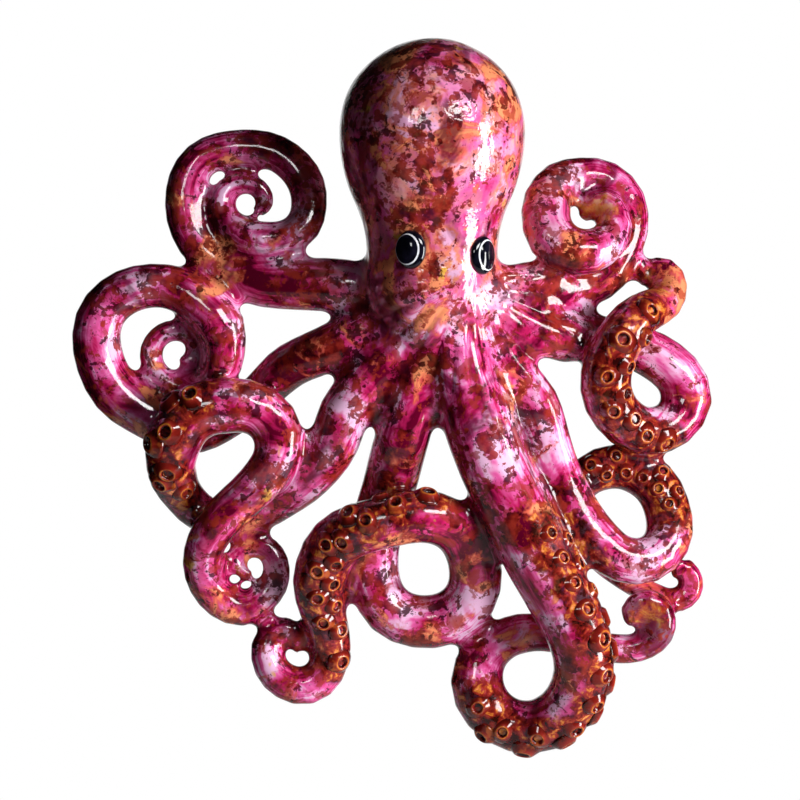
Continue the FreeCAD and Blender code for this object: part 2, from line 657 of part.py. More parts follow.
def make_cup(arm, along, turn, radius, local_radius):
    """One sucker: a foot that follows the skin, a leaning wall, a rim and a recess."""
    gap = size("sucker_gap")
    share = radius / size("sucker_radius")
    height = size("sucker_height") * share
    recess = size("sucker_recess") * share
    foot = []
    for corner in range(SUCKER_SIDES):
        angle = 2 * math.pi * corner / SUCKER_SIDES
        ahead = along + radius * math.cos(angle)
        round_turn = turn + radius * math.sin(angle) / local_radius
        foot.append(surface_place(arm, ahead, round_turn, gap))
    middle = surface_place(arm, along, turn, gap)
    axis = (surface_place(arm, along, turn, gap + height) - middle).normalize()
    level = max((corner - middle).dot(axis) for corner in foot)
    top = max(level, 0) + height
    rim = []
    mouth = []
    floor = []
    for corner in foot:
        out = corner - middle
        out = out - axis * out.dot(axis)
        rim.append(middle + axis * top + out * SUCKER_RIM_SHARE)
        mouth.append(middle + axis * top + out * SUCKER_MOUTH_SHARE)
        floor.append(middle + axis * (top - recess) + out * SUCKER_FLOOR_SHARE)
    faces = []
    for k in range(SUCKER_SIDES):
        n = (k + 1) % SUCKER_SIDES
        faces.append(polygon_face([middle, foot[k], foot[n]]))
        faces.append(polygon_face([foot[k], rim[k], foot[n]]))
        faces.append(polygon_face([rim[k], rim[n], foot[n]]))
        faces.append(polygon_face([rim[k], mouth[k], rim[n]]))
        faces.append(polygon_face([mouth[k], mouth[n], rim[n]]))
        faces.append(polygon_face([mouth[k], floor[k], mouth[n]]))
        faces.append(polygon_face([floor[k], floor[n], mouth[n]]))
    faces.append(polygon_face(floor))
    solid = Part.makeSolid(Part.makeShell(faces))
    if solid.Volume < 0:
        solid.reverse()
    return solid, middle + axis * (0.5 * top)


def places_in_runs(arm, runs):
    """Each cup's distance along the arm and its turn round it, evenly spaced in its run."""
    places = []
    for first, last, count, first_turn, last_turn in runs:
        for k in range(count):
            share = k / (count - 1)
            along = first + (last - first) * share
            turn = first_turn + (last_turn - first_turn) * share
            places.append((along * arm.length, math.radians(turn)))
    return places


def make_suckers(arm, arms):
    """Runs of cups along the arm, left out where another arm lies over them."""
    size_share, runs = SUCKER_RUN_SHARES[arm.number]
    cups = []
    spots = []
    for along, turn in places_in_runs(arm, runs):
        index = max(i for i, mark in enumerate(arm.stations) if mark <= along)
        local_radius = arm.radii[index]
        radius = min(size("sucker_radius") * size_share, SUCKER_SKIN_SHARE * local_radius)
        cup, spot = make_cup(arm, along, turn, radius, local_radius)
        reach = radius + size("sucker_gap")
        if room_for(arm, arms, index, spot, reach, spots):
            cups.append(cup)
            spots.append((spot, radius))
    feature = document.addObject("Part::Feature", f"suckers_arm_{arm.number}")
    feature.Shape = Part.makeCompound(cups)
    print(f"suckers_arm_{arm.number}: {len(cups)} cups")
    return feature


def room_for(arm, arms, index, spot, reach, spots):
    """Whether a cup has room beside the other arms, its own arm's curl and other cups."""
    for other in arms:
        for i, centre in enumerate(other.centres):
            if other is arm:
                span = abs(arm.stations[i] - arm.stations[index])
                if span < CUP_SKIP_SHARE * arm.radii[index]:
                    continue
            if (centre - spot).Length < other.radii[i] * BETWEEN_SECTIONS_SHARE + reach:
                return False
    for place, radius in spots:
        if (place - spot).Length < radius + reach:
            return False
    return True


mantle = make_mantle()
mantle_core = make_mantle_core()
back_slab = make_back_slab()
document.recompute()
eye_left = make_eye("eye_left", "eye_left_turn", "eye_left_rise")
eye_right = make_eye("eye_right", "eye_right_turn", "eye_right_rise")

arms = [Arm(number) for number in sorted(ARM_ROUTE_PX_SHARES)]
steps = settle(arms)
gap, place = least_gap(arms)
print(f"settled in {steps} steps, least gap between arm sections {gap:.2f} mm at {place}")
web = make_web(arms)
sub_parts = [mantle, back_slab, web, eye_left, eye_right]
for arm in arms:
    sub_parts.append(make_arm(arm))
for arm in arms:
    if arm.number in SUCKER_RUN_SHARES:
        sub_parts.append(make_suckers(arm, arms))
document.recompute()

for thing in document.Objects:
    if "Invalid" in thing.State or "Error" in thing.State:
        raise ValueError(f"{thing.Name} failed: {thing.State}")
for thing in sub_parts:
    if thing.Shape.isNull() or not thing.Shape.isValid():
        raise ValueError(f"{thing.Label} has no valid shape")
for thing in sub_parts:
    thing.Shape.exportStep(f"parts/{thing.Label}.step")
    print(f"{thing.Label}: {len(thing.Shape.Solids)} solids, {thing.Shape.Volume:.0f} mm3")
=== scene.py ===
"""Looks of a wall-hung glazed ceramic octopus: one coat of mottled glaze over the luted
pieces, applied suckers, painted eyes, and the slab with its hanging hole at the back."""

import math

import bmesh
import bpy
import numpy as np
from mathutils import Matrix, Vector, noise
from mathutils.bvhtree import BVHTree
from mathutils.kdtree import KDTree


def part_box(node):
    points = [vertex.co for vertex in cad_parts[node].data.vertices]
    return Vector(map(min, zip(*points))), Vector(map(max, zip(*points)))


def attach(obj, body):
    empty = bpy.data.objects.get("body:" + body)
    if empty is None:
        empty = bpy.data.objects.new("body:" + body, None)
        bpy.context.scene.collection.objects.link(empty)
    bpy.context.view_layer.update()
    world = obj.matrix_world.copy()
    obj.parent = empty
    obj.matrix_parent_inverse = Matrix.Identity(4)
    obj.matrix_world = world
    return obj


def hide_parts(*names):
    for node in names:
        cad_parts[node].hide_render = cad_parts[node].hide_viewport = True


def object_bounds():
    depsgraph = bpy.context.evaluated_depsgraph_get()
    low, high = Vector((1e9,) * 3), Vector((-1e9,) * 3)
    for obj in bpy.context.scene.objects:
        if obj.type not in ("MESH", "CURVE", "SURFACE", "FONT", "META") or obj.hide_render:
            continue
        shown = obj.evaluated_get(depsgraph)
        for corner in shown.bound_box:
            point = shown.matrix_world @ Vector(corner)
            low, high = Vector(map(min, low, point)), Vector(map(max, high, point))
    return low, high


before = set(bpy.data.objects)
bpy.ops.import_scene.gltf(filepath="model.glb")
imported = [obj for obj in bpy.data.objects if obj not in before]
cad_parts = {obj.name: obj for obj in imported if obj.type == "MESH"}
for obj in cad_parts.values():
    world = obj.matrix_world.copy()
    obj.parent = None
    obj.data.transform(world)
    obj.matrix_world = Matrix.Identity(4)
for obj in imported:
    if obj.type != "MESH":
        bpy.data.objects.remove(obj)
cad_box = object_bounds()

MM = 0.001
ARMS = [f"arm_{number}" for number in range(1, 9)]
SUCKER_NODES = [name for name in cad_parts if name.startswith("suckers_")]
LUTED = ["mantle", "web"] + ARMS

# The photograph's frame: pixels per side, the head's centre in it and its scale. Then the
# depths of the arms' middle plane, the head's middle and the camera.
PHOTO_SIDE_PX = 800
HEAD_AXIS_PX = 432
HEAD_CENTRE_PX = 133
M_PER_PX = 0.000501
ARM_PLANE_Y = -30 * MM
HEAD_Y = -40 * MM
CAMERA_Y = -1.9
SENSOR_MM = 36

# The glaze coat: how finely it is meshed, how much the pieces grow to join, how far the
# glaze pools in creases and how much further in the curls
VOXEL = 1.1 * MM
BRIDGE = 0.35 * MM
POOL = 1 * MM
POOL_IN_CURLS = 1.2 * MM

# The waves that hands leave, and how closely they follow one another
HAND_WAVE = 0.4 * MM
WAVE_PER_M = 38

# How a crease is found: the rounds that blur the skin, and the depth of a full crease
CREASE_ROUNDS = 22
CREASE_FULL = 1.3 * MM
CREASE_BLUR_ROUNDS = 4

# How the glaze evens out in the creases: how far round them, how soon, how many rounds
SOFT_SPREAD_ROUNDS = 5
SOFT_GAIN = 9
SOFT_ROUNDS = 40

# The smeared clay that fills the valleys between the arms' roots. First the part of the
# front that its grid covers, the grid's step, the half width in cells of the widest valley
# that it fills, how far below the crests it stays and how often the filling is blurred.
# Then where it fades out: with the distance from the folds' start, above that start, and
# behind the front skin. Last, the rounds that smooth what was filled.
SMEAR_LEFT_PX = 330
SMEAR_RIGHT_PX = 590
SMEAR_TOP_PX = 262
SMEAR_LOW_PX = 430
SMEAR_STEP = 1.5 * MM
SMEAR_REACH_CELLS = 9
SMEAR_DROP = 1.6 * MM
SMEAR_BLUR_ROUNDS = 6
SMEAR_NEAR = 34 * MM
SMEAR_FAR = 66 * MM
SMEAR_RISE = 14 * MM
SMEAR_BEHIND_NEAR = 14 * MM
SMEAR_BEHIND_FAR = 22 * MM
SMEAR_SOFT_ROUNDS = 24

# In front of the whole piece: rays that look for its front start here
RAY_START_Y = -0.3

# The folds that fan out from the neck's foot over the web: where they start, how far
# they reach, how many would go full round and how high they stand. They begin a little
# above their start, are full a little below it, and wander and change in height.
FOLD_START_PX = (470, 282)
FOLD_NEAR = 7 * MM
FOLD_FAR = 80 * MM
FOLDS_ROUND = 28
FOLD_HEIGHT = 1.6 * MM
FOLD_ABOVE_FAR = 14 * MM
FOLD_BELOW_FULL = 2 * MM
FOLD_WANDER = 0.16
FOLD_WANDER_PER_M = 26
FOLD_UNEVEN_PER_M = 17

# Curl centres in the photograph, where the glaze pools deeper and turns amber
CURL_TIPS_PX = [(254, 200), (178, 350), (248, 570), (290, 648), (646, 618), (684, 582),
                (652, 278), (600, 215)]

# The head's centre and neck in the photograph, where the glaze is warmest
HEAD_PLACES_PX = [(432, 130), (436, 200)]


def photo_place(across_px, down_px, y):
    """A pixel of the photograph as a place in the frame, at a given depth."""
    across = (across_px - HEAD_AXIS_PX) * M_PER_PX
    up = (HEAD_CENTRE_PX - down_px) * M_PER_PX
    return Vector((across, y, up))


class Nodes:
    """A material and short calls that build its node tree."""

    def __init__(self, name):
        self.material = bpy.data.materials.new(name)
        self.material.use_nodes = True
        self.tree = self.material.node_tree
        self.shader = self.tree.nodes["Principled BSDF"]
        self.place = self.add("ShaderNodeTexCoord").outputs["Object"]

    def add(self, kind, **settings):
        node = self.tree.nodes.new(kind)
        for key, value in settings.items():
            setattr(node, key, value)
        return node

    def feed(self, socket, value):
        """Links a socket, or sets it where the value is a number or a colour."""
        if isinstance(value, bpy.types.NodeSocket):
            self.tree.links.new(value, socket)
        elif socket.type == "RGBA":
            socket.default_value = (*value, 1)
        else:
            socket.default_value = value

    def noise(self, scale, detail=3, rough=0.5, distort=0, place=None):
        node = self.add("ShaderNodeTexNoise")
        self.feed(node.inputs["Vector"], place or self.place)
        node.inputs["Scale"].default_value = scale
        node.inputs["Detail"].default_value = detail
        node.inputs["Roughness"].default_value = rough
        node.inputs["Distortion"].default_value = distort
        return node.outputs["Fac"]

    def dabs(self, scale, place):
        """Round cells: the distance from each one's centre, and a colour of its own."""
        node = self.add("ShaderNodeTexVoronoi")
        self.feed(node.inputs["Vector"], place)
        node.inputs["Scale"].default_value = scale
        return node.outputs["Distance"], node.outputs["Color"]

    def maths(self, operation, first, second):
        node = self.add("ShaderNodeMath", operation=operation)
        self.feed(node.inputs[0], first)
        self.feed(node.inputs[1], second)
        return node.outputs[0]

    def smooth(self, value, low, high, to_low=0, to_high=1):
        node = self.add("ShaderNodeMapRange", interpolation_type="SMOOTHSTEP")
        self.feed(node.inputs["Value"], value)
        self.feed(node.inputs["From Min"], low)
        self.feed(node.inputs["From Max"], high)
        self.feed(node.inputs["To Min"], to_low)
        self.feed(node.inputs["To Max"], to_high)
        return node.outputs[0]

    def blend(self, share, first, second):
        node = self.add("ShaderNodeMix", data_type="RGBA")
        self.feed(node.inputs[0], share)
        self.feed(node.inputs[6], first)
        self.feed(node.inputs[7], second)
        return node.outputs[2]

    def ramp(self, value, stops):
        node = self.add("ShaderNodeValToRGB")
        self.feed(node.inputs[0], value)
        points = node.color_ramp.elements
        while len(points) < len(stops):
            points.new(0.5)
        for point, (where, colour) in zip(points, stops):
            point.position = where
            point.color = (*colour, 1)
        return node.outputs[0]

    def attribute(self, name):
        return self.add("ShaderNodeAttribute", attribute_name=name).outputs["Fac"]

    def shifted(self, offset):
        node = self.add("ShaderNodeVectorMath", operation="ADD")
        self.feed(node.inputs[0], self.place)
        node.inputs[1].default_value = offset
        return node.outputs[0]

    def along_the_arm(self, fine, coarse):
        """A place that changes fast across a rolled arm and slowly along it."""
        turn = self.add("ShaderNodeSeparateXYZ")
        self.feed(turn.inputs[0], self.add("ShaderNodeTexCoord").outputs["Normal"])
        spot = self.add("ShaderNodeSeparateXYZ")
        self.feed(spot.inputs[0], self.place)
        joined = self.add("ShaderNodeCombineXYZ")
        self.feed(joined.inputs[0], self.maths("MULTIPLY", turn.outputs["Y"], fine))
        self.feed(joined.inputs[1], self.maths("MULTIPLY", spot.outputs["X"], coarse))
        self.feed(joined.inputs[2], self.maths("MULTIPLY", spot.outputs["Z"], coarse))
        return joined.outputs[0]

    def jittered(self, scale, reach):
        """The place, shaken by a fine noise so that edges turn ragged."""
        node = self.add("ShaderNodeTexNoise")
        self.feed(node.inputs["Vector"], self.place)
        node.inputs["Scale"].default_value = scale
        node.inputs["Detail"].default_value = 3
        centre = self.add("ShaderNodeVectorMath", operation="SUBTRACT")
        self.feed(centre.inputs[0], node.outputs["Color"])
        centre.inputs[1].default_value = (0.5, 0.5, 0.5)
        size = self.add("ShaderNodeVectorMath", operation="SCALE")
        self.feed(size.inputs[0], centre.outputs[0])
        size.inputs["Scale"].default_value = reach
        total = self.add("ShaderNodeVectorMath", operation="ADD")
        self.feed(total.inputs[0], self.place)
        self.feed(total.inputs[1], size.outputs[0])
        return total.outputs[0]

    def gloss(self, colour, roughness, bump, strength, distance):
        """A glazed finish: the colour under a clear hard coat."""
        self.feed(self.shader.inputs["Base Color"], colour)
        self.shader.inputs["Roughness"].default_value = roughness
        self.shader.inputs["Specular IOR Level"].default_value = 0.08
        self.shader.inputs["Coat Weight"].default_value = 1
        self.shader.inputs["Coat Roughness"].default_value = 0.025
        self.shader.inputs["Coat IOR"].default_value = 1.5
        relief = self.add("ShaderNodeBump")
        relief.inputs["Strength"].default_value = strength
        relief.inputs["Distance"].default_value = distance
        self.feed(relief.inputs["Height"], bump)
        self.feed(self.shader.inputs["Normal"], relief.outputs[0])
        self.feed(self.shader.inputs["Coat Normal"], relief.outputs[0])
        return self.material


def srgb(red, green, blue):
    """A colour written as 0 to 255 on screen, turned into the renderer's linear values."""
    out = []
    for value in (red, green, blue):
        value /= 255
        out.append(value / 12.92 if value <= 0.04045 else ((value + 0.055) / 1.055) ** 2.4)
    return tuple(out)


LILAC = srgb(248, 196, 232)
PINK = srgb(232, 98, 168)
ROSE = srgb(194, 30, 94)
WINE = srgb(92, 2, 34)
BLUSH = srgb(240, 134, 166)
PEACH = srgb(248, 152, 104)
SALMON = srgb(218, 90, 72)
ORANGE = srgb(210, 104, 46)
YELLOW = srgb(228, 176, 66)
RUST = srgb(158, 46, 34)
BRICK = srgb(116, 24, 18)
MAROON = srgb(52, 2, 6)
UMBER = srgb(36, 5, 2)
AMBER = srgb(214, 128, 44)


def warm_patches(nodes, base, head):
    """Salmon, peach and a little yellow over the pink, mostly on the head."""
    crown = nodes.noise(40, 4, 0.6, 0.5, nodes.shifted((6.6, 3.3, 1.9)))
    crown = nodes.ramp(crown, [(0.36, ROSE), (0.44, PINK), (0.51, BLUSH), (0.57, PEACH),
                               (0.63, LILAC)])
    base = nodes.blend(nodes.maths("MULTIPLY", head, 0.7), base, crown)
    warm = nodes.noise(48, 4, 0.6, 0.6, nodes.shifted((3.1, 1.7, 5.3)))
    warm = nodes.maths("ADD", warm, nodes.maths("MULTIPLY", head, 0.05))
    base = nodes.blend(nodes.smooth(warm, 0.55, 0.61, 0, 0.85), base, SALMON)
    base = nodes.blend(nodes.smooth(warm, 0.6, 0.65, 0, 0.9), base, PEACH)
    gold = nodes.noise(62, 3, 0.5, 0.4, nodes.shifted((7.7, 2.2, 0.4)))
    gold = nodes.maths("ADD", gold, nodes.maths("MULTIPLY", head, 0.03))
    return nodes.blend(nodes.smooth(gold, 0.69, 0.75, 0, 0.85), base, YELLOW)


def dab_cover(nodes, head):
    """Where the brown lies: torn sponge marks, fine specks and uneven round dabs."""
    crowd = nodes.noise(44, 3, 0.6, 0.3, nodes.shifted((4.4, 6.1, 9.0)))
    crowd = nodes.maths("SUBTRACT", crowd, nodes.smooth(head, 0, 1, 0.5, 0.51))
    torn = nodes.noise(135, 5, 0.68, 0.4, nodes.shifted((8.8, 4.1, 2.7)))
    torn = nodes.maths("ADD", torn, nodes.maths("MULTIPLY", crowd, 0.5))
    torn = nodes.smooth(torn, 0.525, 0.56)
    speck = nodes.noise(360, 4, 0.7, 0.2, nodes.shifted((2.8, 9.1, 5.7)))
    speck = nodes.maths("ADD", speck, nodes.maths("MULTIPLY", crowd, 0.4))
    speck = nodes.smooth(speck, 0.58, 0.62, 0, 0.85)
    near, tint = nodes.dabs(225, nodes.jittered(420, 1.9 * MM))
    uneven = nodes.add("ShaderNodeSeparateColor")
    nodes.feed(uneven.inputs[0], tint)
    reach = nodes.smooth(crowd, -0.14, 0.14, 0.04, 0.62)
    reach = nodes.maths("MULTIPLY", reach, nodes.smooth(uneven.outputs[0], 0, 1, 0.4, 1))
    dab = nodes.smooth(nodes.maths("SUBTRACT", reach, near), 0, 0.08)
    return nodes.maths("MAXIMUM", torn, nodes.maths("MAXIMUM", speck, dab))


def mottled_colour(nodes):
    """Brushed pink and magenta washes, warm patches, soft rust and crowded brown dabs."""
    head = nodes.attribute("head")
    wash = nodes.noise(36, 4, 0.6, 0.6)
    brushed = nodes.noise(1, 3, 0.6, 0.2, nodes.along_the_arm(7, 24))
    tone = nodes.maths("ADD", nodes.maths("MULTIPLY", wash, 0.6),
                       nodes.maths("MULTIPLY", brushed, 0.4))
    base = nodes.ramp(tone, [(0.42, WINE), (0.47, ROSE), (0.53, PINK), (0.58, LILAC)])
    base = warm_patches(nodes, base, head)
    deep = nodes.noise(30, 4, 0.6, 0.8, nodes.shifted((1.3, 8.2, 3.9)))
    base = nodes.blend(nodes.smooth(deep, 0.54, 0.66, 0, 0.85), base, WINE)
    rust = nodes.noise(80, 4, 0.6, 0.3, nodes.shifted((5.2, 0.6, 7.1)))
    base = nodes.blend(nodes.smooth(rust, 0.56, 0.61, 0, 0.75), base, RUST)
    cover = dab_cover(nodes, head)
    shade = nodes.noise(120, 3, 0.6, 0, nodes.shifted((0.3, 4.8, 2.2)))
    dab = nodes.ramp(shade, [(0.4, MAROON), (0.5, BRICK), (0.62, RUST)])
    return nodes.blend(nodes.maths("MULTIPLY", cover, 0.92), base, dab), cover


def make_body_glaze():
    """The mottled glaze, amber and brown under the suckers, and darker in the creases: partly
    the deeper glaze pooled there, partly painted shade.
    """
    nodes = Nodes("mottled_glaze")
    colour, cover = mottled_colour(nodes)
    patch = nodes.noise(170, 4, 0.6, 0.4)
    ochre = nodes.ramp(patch, [(0.42, UMBER), (0.5, BRICK), (0.57, RUST), (0.63, AMBER),
                               (0.7, PEACH)])
    band = nodes.maths("ADD", nodes.attribute("band"), nodes.maths("MULTIPLY", patch, 0.7))
    colour = nodes.blend(nodes.smooth(band, 0.5, 0.86, 0, 0.94), colour, ochre)
    golden = nodes.ramp(patch, [(0.36, BRICK), (0.5, ORANGE), (0.62, YELLOW)])
    tip = nodes.maths("ADD", nodes.attribute("tip"), nodes.maths("MULTIPLY", patch, 0.7))
    colour = nodes.blend(nodes.smooth(tip, 0.7, 1.2, 0, 0.75), colour, golden)
    # Painted shade: the creases turn maroon, partly for the deeper glaze pooled there and
    # partly for the shade that falls in them.
    crease = nodes.attribute("crease")
    colour = nodes.blend(nodes.smooth(crease, 0.1, 0.7, 0, 0.9), colour, MAROON)
    peel = nodes.noise(130, 3, 0.5)
    peel = nodes.maths("MULTIPLY", peel, nodes.smooth(nodes.attribute("head"), 0, 1, 1, 20))
    height = nodes.maths("ADD", nodes.maths("MULTIPLY", cover, 0.3), peel)
    return nodes.gloss(colour, 0.22, height, 0.14, 0.3 * MM)


def make_sucker_glaze():
    """Brown cups with an amber rim, partly a painted highlight on the crest, and a dark
    mouth, partly painted shade in the hollow.
    """
    nodes = Nodes("sucker_glaze")
    ring = nodes.attribute("ring")
    grain = nodes.noise(170, 4, 0.6, 0.4)
    level = nodes.maths("ADD", ring, nodes.maths("MULTIPLY", grain, 0.2))
    # Along the section: brown glaze, an amber band at the rim that is partly painted
    # highlight, then maroon and umber in the mouth that are partly painted shade.
    colour = nodes.ramp(level, [(0.1, UMBER), (0.34, BRICK), (0.5, RUST), (0.6, AMBER),
                                (0.66, RUST), (0.76, MAROON), (0.95, UMBER)])
    patch = nodes.noise(95, 3, 0.5, 0, nodes.shifted((2.0, 5.0, 1.0)))
    colour = nodes.blend(nodes.smooth(patch, 0.46, 0.58, 0, 0.75), colour, BRICK)
    gilt = nodes.noise(120, 3, 0.5, 0, nodes.shifted((6.0, 1.0, 4.0)))
    colour = nodes.blend(nodes.smooth(gilt, 0.58, 0.68, 0, 0.5), colour, ORANGE)
    return nodes.gloss(colour, 0.2, grain, 0.12, 0.2 * MM)


def make_slab_glaze():
    """The same glaze, worn darker on the slab at the back."""
    nodes = Nodes("slab_glaze")
    colour, cover = mottled_colour(nodes)
    wear = nodes.noise(90, 4, 0.6)
    colour = nodes.blend(0.55, colour, nodes.ramp(wear, [(0.35, MAROON), (0.7, ROSE)]))
    return nodes.gloss(colour, 0.3, nodes.maths("ADD", wear, cover), 0.15, 0.2 * MM)


def make_eye_black():
    nodes = Nodes("eye_black")
    cloud = nodes.noise(260, 3, 0.5)
    colour = nodes.ramp(cloud, [(0.35, srgb(5, 5, 12)), (0.7, srgb(24, 22, 38))])
    return nodes.gloss(colour, 0.12, cloud, 0.06, 0.15 * MM)


def make_eye_white():
    nodes = Nodes("eye_white")
    cloud = nodes.noise(300, 3, 0.5)
    colour = nodes.ramp(cloud, [(0.3, srgb(214, 216, 226)), (0.7, srgb(250, 250, 252))])
    return nodes.gloss(colour, 0.18, cloud, 0.08, 0.15 * MM)


def make_object(name, mesh, *materials):
    piece = bpy.data.objects.new(name, mesh)
    bpy.context.scene.collection.objects.link(piece)
    for material in materials:
        mesh.materials.append(material)
    mesh.shade_smooth()
    return piece


def node_mesh(name):
    """A CAD node as a welded bmesh in the frame."""
    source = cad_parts[name]
    mesh = bmesh.new()
    mesh.from_mesh(source.data)
    mesh.transform(source.matrix_world)
    bmesh.ops.remove_doubles(mesh, verts=mesh.verts, dist=0.002 * MM)
    return mesh


def places_of(mesh):
    flat = np.empty(len(mesh.vertices) * 3)
    mesh.vertices.foreach_get("co", flat)
    return flat.reshape(-1, 3)


def set_places(mesh, places):
    mesh.vertices.foreach_set("co", places.ravel())
    mesh.update()


def normals_of(mesh):
    flat = np.empty(len(mesh.vertices) * 3, np.float32)
    mesh.vertex_normals.foreach_get("vector", flat)
    return flat.reshape(-1, 3).astype(float)


def edges_of(mesh):
    flat = np.empty(len(mesh.edges) * 2, np.int32)
    mesh.edges.foreach_get("vertices", flat)
    return flat.reshape(-1, 2)


def spread(values, edges, count):
    """The mean over each vertex's neighbours."""
    total = np.zeros_like(values)
    for column in range(values.shape[1]):
        total[:, column] = np.bincount(edges[:, 0], values[edges[:, 1], column], count)
        total[:, column] += np.bincount(edges[:, 1], values[edges[:, 0], column], count)
    degree = np.bincount(edges.ravel(), minlength=count)
    return total / np.maximum(degree, 1)[:, None]


def relaxed(places, edges, rounds, share):
    """The places after some rounds of moving towards their neighbours' mean."""
    for _ in range(rounds):
        places = places + (spread(places, edges, len(places)) - places) * share
    return places


def smoothe(mesh, rounds):
    """Relaxes a mesh without shrinking it: each step in is followed by one out."""
    places = places_of(mesh)
    edges = edges_of(mesh)
    for _ in range(rounds):
        places = relaxed(places, edges, 1, 0.5)
        places = relaxed(places, edges, 1, -0.52)
    set_places(mesh, places)


def grow(mesh, distance):
    """Moves each vertex along its normal."""
    set_places(mesh, places_of(mesh) + normals_of(mesh) * distance)


def remeshed(mesh):
    """The mesh made anew from voxels. The old one is removed."""
    holder = bpy.data.objects.new("remesh_holder", mesh)
    bpy.context.scene.collection.objects.link(holder)
    modifier = holder.modifiers.new("voxels", "REMESH")
    modifier.mode = "VOXEL"
    modifier.voxel_size = VOXEL
    graph = bpy.context.evaluated_depsgraph_get()
    result = bpy.data.meshes.new_from_object(holder.evaluated_get(graph))
    bpy.data.objects.remove(holder)
    bpy.data.meshes.remove(mesh)
    return result


def luted_mesh():
    """All luted pieces in one mesh, each grown a little so that touching ones join."""
    whole = bpy.data.meshes.new("luted")
    gathered = bmesh.new()
    for name in LUTED:
        piece = node_mesh(name)
        mesh = bpy.data.meshes.new(name)
        piece.to_mesh(mesh)
        piece.free()
        grow(mesh, BRIDGE)
        gathered.from_mesh(mesh)
        bpy.data.meshes.remove(mesh)
    gathered.to_mesh(whole)
    gathered.free()
    return whole


def noise_at(places):
    """A smooth noise, from -1 to 1, at each place."""
    return np.array([noise.noise(Vector(place)) for place in places])


def add_hand_waves(mesh):
    """The slight unevenness that fingers leave in rolled and cast clay."""
    grow(mesh, (noise_at(places_of(mesh) * WAVE_PER_M) * HAND_WAVE)[:, None])


def smooth_step(values, low, high):
    """0 below low, 1 above high and a soft rise between them."""
    share = np.clip((values - low) / (high - low), 0, 1)
    return share * share * (3 - 2 * share)


def mesh_tree(mesh):
    """A tree that finds where rays hit the mesh and what lies nearest on it."""
    return BVHTree.FromPolygons(
        [vertex.co for vertex in mesh.vertices], [face.vertices for face in mesh.polygons]
    )


def front_heights(mesh, lefts, ups):
    """How far the front stands off the wall over a grid of places, and 0 beside it."""
    tree = mesh_tree(mesh)
    heights = np.zeros((len(lefts), len(ups)))
    for row, across in enumerate(lefts):
        for column, up in enumerate(ups):
            hit = tree.ray_cast(Vector((across, RAY_START_Y, up)), Vector((0, 1, 0)))[0]
            if hit is not None:
                heights[row, column] = -hit.y
    return heights


def widest(values, cells):
    """Each cell's highest value within a round reach."""
    best = values.copy()
    for row in range(-cells, cells + 1):
        for column in range(-cells, cells + 1):
            if row * row + column * column <= cells * cells:
                best = np.maximum(best, np.roll(values, (row, column), (0, 1)))
    return best


def grid_value(heights, lefts, ups, places):
    """The grid's value at each place, blended between its four cells."""
    row = np.clip((places[:, 0] - lefts[0]) / SMEAR_STEP, 0, len(lefts) - 1.001)
    column = np.clip((places[:, 2] - ups[0]) / SMEAR_STEP, 0, len(ups) - 1.001)
    low_row = row.astype(int)
    low_column = column.astype(int)
    row -= low_row
    column -= low_column
    first = heights[low_row, low_column] * (1 - row) + heights[low_row + 1, low_column] * row
    second = heights[low_row, low_column + 1] * (1 - row)
    second += heights[low_row + 1, low_column + 1] * row
    return first * (1 - column) + second * column


def smear_grid(mesh):
    """The grid's places, the front's height there, and its height with the valleys full."""
    margin = 2 * SMEAR_REACH_CELLS * SMEAR_STEP
    low = photo_place(SMEAR_LEFT_PX, SMEAR_LOW_PX, 0)
    high = photo_place(SMEAR_RIGHT_PX, SMEAR_TOP_PX, 0)
    lefts = np.arange(low.x - margin, high.x + margin, SMEAR_STEP)
    ups = np.arange(low.z - margin, high.z + margin, SMEAR_STEP)
    heights = front_heights(mesh, lefts, ups)
    filled = -widest(-widest(heights, SMEAR_REACH_CELLS), SMEAR_REACH_CELLS)
    for _ in range(SMEAR_BLUR_ROUNDS):
        around = sum(np.roll(filled, step, axis) for axis in (0, 1) for step in (-1, 1))
        filled = (filled + around) / 5
    return lefts, ups, heights, filled


def smear_web(mesh):
    """Fills the valleys between the arms' roots, as fingers smear the clay there."""
    lefts, ups, heights, filled = smear_grid(mesh)
    places = places_of(mesh)
    start = photo_place(*FOLD_START_PX, 0)
    distance = np.hypot(places[:, 0] - start.x, places[:, 2] - start.z)
    share = 1 - smooth_step(distance, SMEAR_NEAR, SMEAR_FAR)
    share *= smooth_step(start.z + SMEAR_RISE - places[:, 2], 0, SMEAR_RISE)
    behind = -places[:, 1] - grid_value(heights, lefts, ups, places)
    share *= smooth_step(behind, -SMEAR_BEHIND_FAR, -SMEAR_BEHIND_NEAR)
    share *= smooth_step(-normals_of(mesh)[:, 1], -0.2, 0.15)
    lift = grid_value(filled, lefts, ups, places) - SMEAR_DROP + places[:, 1]
    places[:, 1] -= np.maximum(lift, 0) * share
    step = 0.6 * share[:, None]
    set_places(mesh, relaxed(places, edges_of(mesh), SMEAR_SOFT_ROUNDS, step))


def add_web_folds(mesh):
    """Round-backed folds with narrow valleys that fan out from the neck's foot."""
    places = places_of(mesh)
    start = photo_place(*FOLD_START_PX, 0)
    across = places[:, 0] - start.x
    up = places[:, 2] - start.z
    distance = np.hypot(across, up)
    angle = np.arctan2(across, -up) + noise_at(places * FOLD_WANDER_PER_M) * FOLD_WANDER
    fold = np.abs(np.sin(angle * FOLDS_ROUND / 2)) ** 0.8 - 0.6
    reach = smooth_step(distance, FOLD_NEAR, 2 * FOLD_NEAR)
    reach *= 1 - smooth_step(distance, 0.45 * FOLD_FAR, FOLD_FAR)
    reach *= smooth_step(-up, -FOLD_ABOVE_FAR, FOLD_BELOW_FULL)
    reach *= smooth_step(-normals_of(mesh)[:, 1], 0.1, 0.5)
    uneven = noise_at(places * FOLD_UNEVEN_PER_M + 9)
    height = FOLD_HEIGHT * np.clip(0.75 + uneven, 0.2, 1.3)
    grow(mesh, (fold * reach * height)[:, None])


